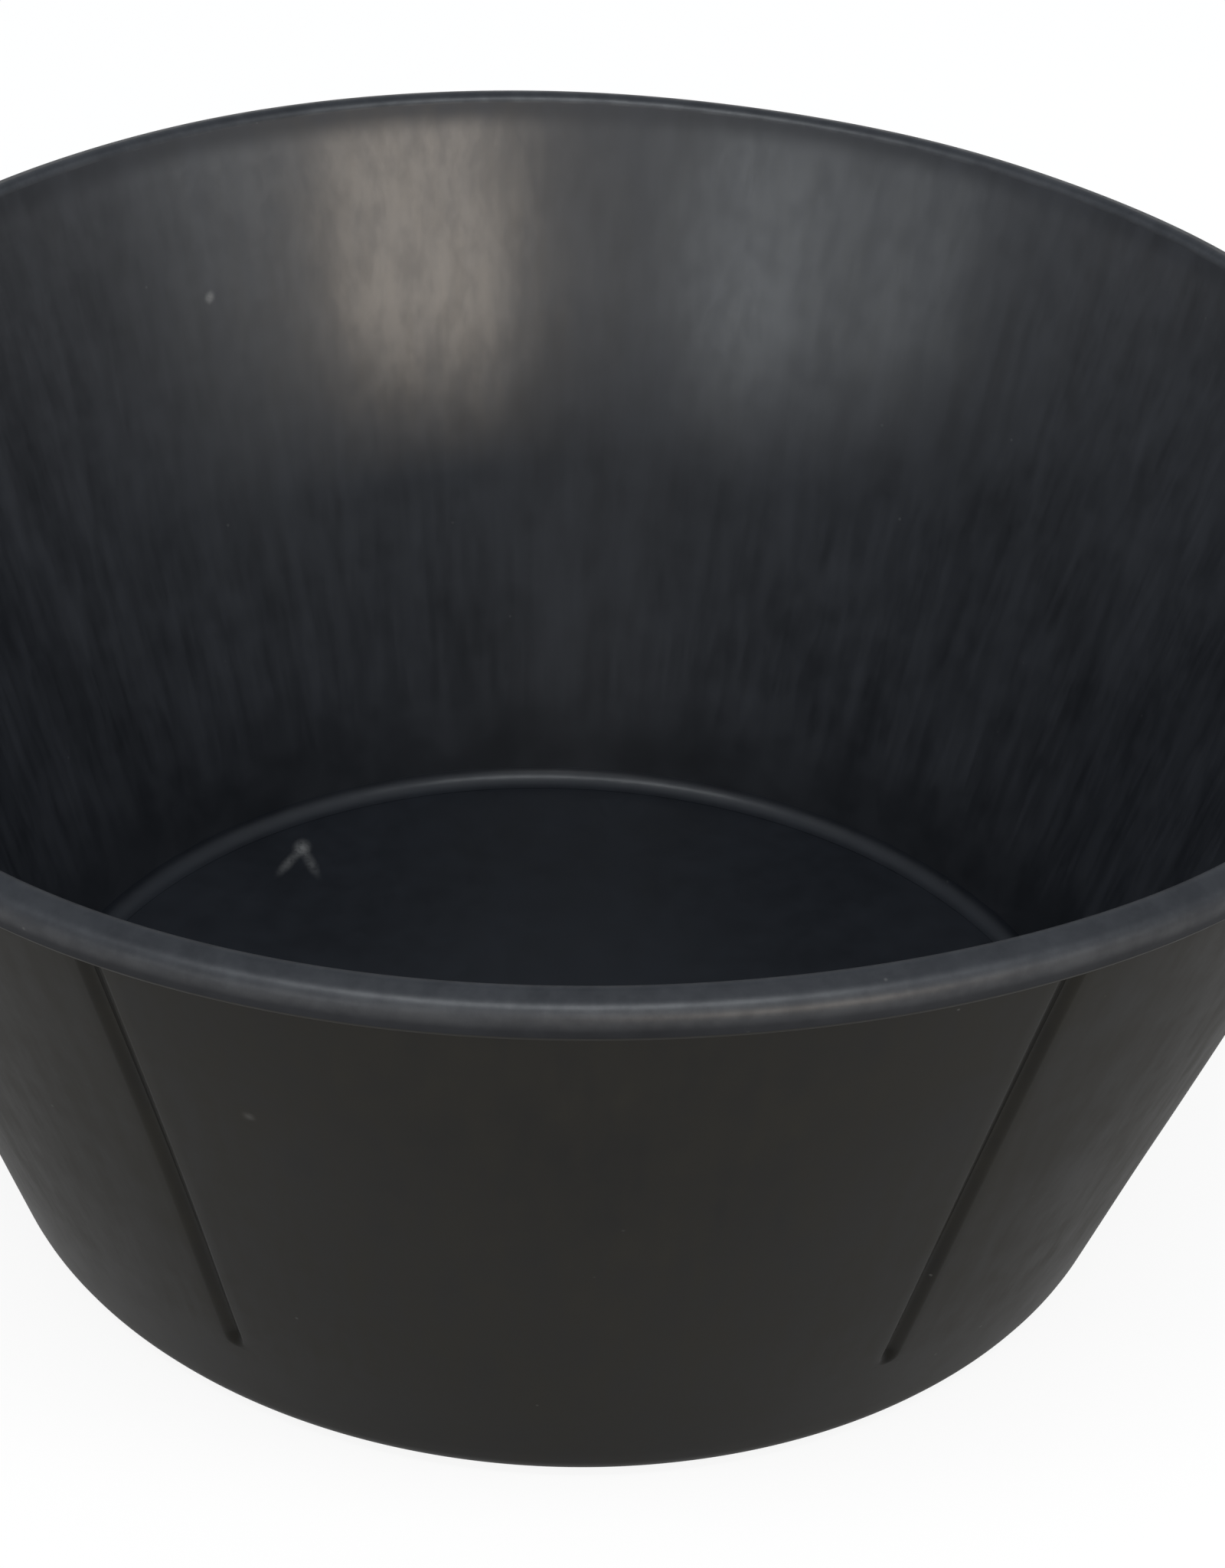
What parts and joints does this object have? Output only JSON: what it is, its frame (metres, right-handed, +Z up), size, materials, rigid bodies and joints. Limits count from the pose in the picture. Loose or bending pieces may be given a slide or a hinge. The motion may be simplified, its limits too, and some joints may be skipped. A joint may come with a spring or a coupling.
{
  "type": "rubber feed tub",
  "caption": "Round flared open rubber tub with a thick rolled rim, grooved outer wall and flat floor, for feeding or watering livestock on the ground.",
  "frame": {"origin": "on the ground at the middle of the floor's underside", "axes": "+Z up along the tub's axis, front towards -Y, +X to the right of someone who faces the front"},
  "size_m": [0.4569, 0.457, 0.205],
  "materials": {
    "outer_rubber": "matt, slightly dusty moulded rubber",
    "inner_rubber": "satin moulded rubber with upright mould streaks"
  },
  "bodies": {
    "root": {"floor_disc": "inner_rubber", "corner_cove": "inner_rubber", "inner_liner": "inner_rubber", "base_band": "outer_rubber", "wall_panel_front": "outer_rubber", "wall_panel_front_right": "outer_rubber", "wall_panel_back_right": "outer_rubber", "wall_panel_back": "outer_rubber", "wall_panel_back_left": "outer_rubber", "wall_panel_front_left": "outer_rubber", "rim_bead": "outer_rubber"}
  },
  "joints": []
}
